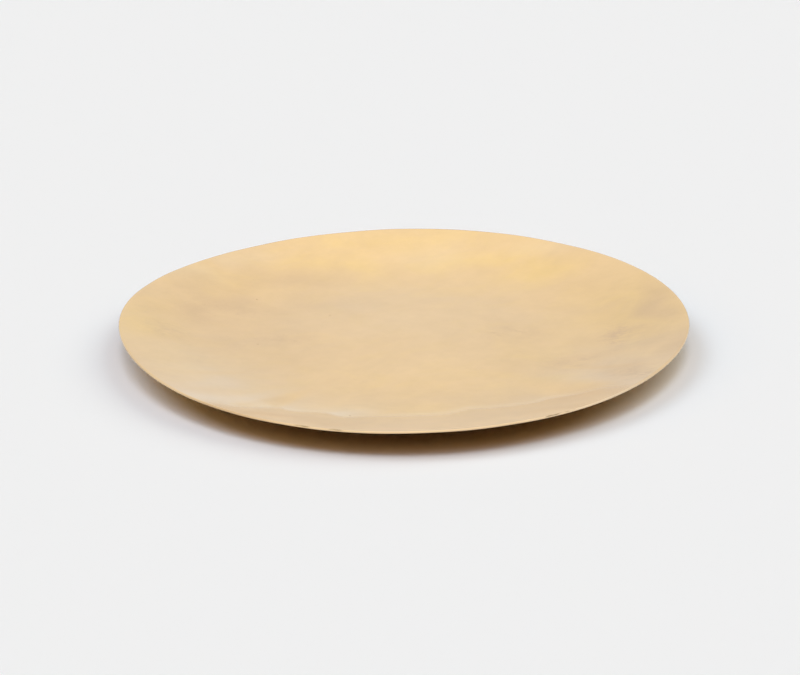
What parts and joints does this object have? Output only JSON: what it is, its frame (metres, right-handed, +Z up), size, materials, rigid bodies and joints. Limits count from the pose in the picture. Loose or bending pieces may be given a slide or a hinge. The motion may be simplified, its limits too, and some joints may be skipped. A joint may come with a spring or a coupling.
{
  "type": "thali plate",
  "caption": "Shallow round dished plate of sheet brass with a flat base, a wall that rises on a gentle curve and a plain filed edge, for serving a meal.",
  "frame": {"origin": "centre of the flat underside, on the plane the plate rests on", "axes": "+Z up along the plate's axis, out of the open side; +X and +Y across the plate, -Y towards the viewer of the picture"},
  "size_m": [0.3, 0.3, 0.018],
  "materials": {
    "brass": "hand-polished, worn satin with fine scratches and faint tarnish"
  },
  "bodies": {
    "root": {"plate": "brass"}
  },
  "joints": []
}
